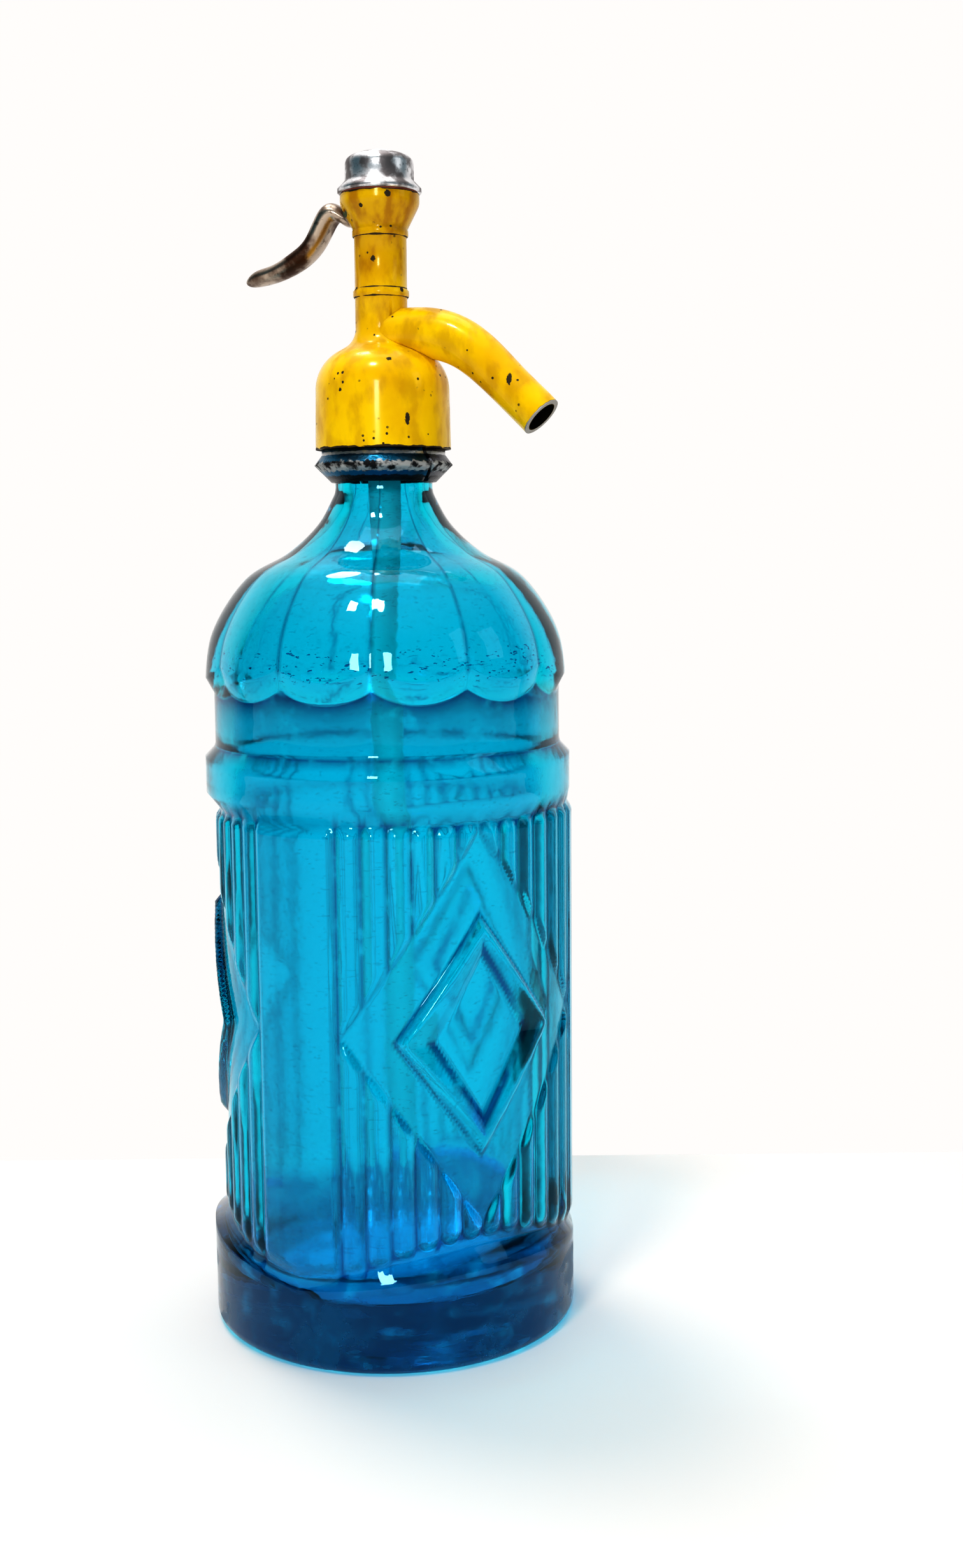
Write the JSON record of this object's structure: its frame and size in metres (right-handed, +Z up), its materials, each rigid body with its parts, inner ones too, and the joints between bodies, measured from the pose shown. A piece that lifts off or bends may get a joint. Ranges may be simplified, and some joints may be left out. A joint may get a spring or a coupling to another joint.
{
  "type": "soda siphon",
  "caption": "Blue glass soda siphon with petalled dome, fluted body, enamelled metal head, side spout and sprung finger lever that lifts an inner valve stem.",
  "frame": {"origin": "centre of the foot's resting face", "axes": "+Z up along the bottle's axis, +X towards the spout's mouth, so the lever points along -X"},
  "size_m": [0.1016, 0.1016, 0.319],
  "materials": {
    "blue_glass": "clear blue moulded glass",
    "tube_glass": "clear drawn glass",
    "rubber": "matte black",
    "pewter": "dull grey cast metal",
    "yellow_enamel": "glossy yellow enamel, chipped",
    "brass": "turned brass",
    "fibre": "red fibre",
    "spring_steel": "drawn wire",
    "chrome": "worn chrome",
    "worn_nickel": "nickel plate worn to brass"
  },
  "bodies": {
    "siphon": {"glass_bottle": "blue_glass", "dip_tube": "tube_glass", "tube_bush": "rubber", "neck_gasket": "rubber", "collar_half_front": "pewter", "collar_half_back": "pewter", "head_body": "yellow_enamel", "spout": "yellow_enamel", "valve_seat": "brass", "seat_gasket": "fibre", "stem_packing": "rubber", "gland_nut": "brass", "return_spring": "spring_steel", "screw_cap": "chrome", "cap_washer": "fibre", "lever_pin": "brass"},
    "lever": {"lever": "worn_nickel"},
    "plunger": {"valve_stem": "brass", "valve_washer": "rubber", "washer_screw": "brass"}
  },
  "joints": [
    {"name": "lever_hinge", "type": "hinge", "parent": "siphon", "child": "lever", "pos_m": [-0.0073, 0, 0.3026], "axis": [0, -1, 0], "range_deg": [0, 16], "stiffness_Nm_per_rad": 0.16, "springref_deg": -28.65},
    {"name": "plunger_lift", "type": "slide", "parent": "siphon", "child": "plunger", "axis": [0, 0, 1], "range_m": [0, 0.00204], "deforming": ["return_spring"]}
  ],
  "couplings": [
    {"joint": "lever_hinge", "follows": "plunger_lift", "rad_per_m": 136.99}
  ]
}
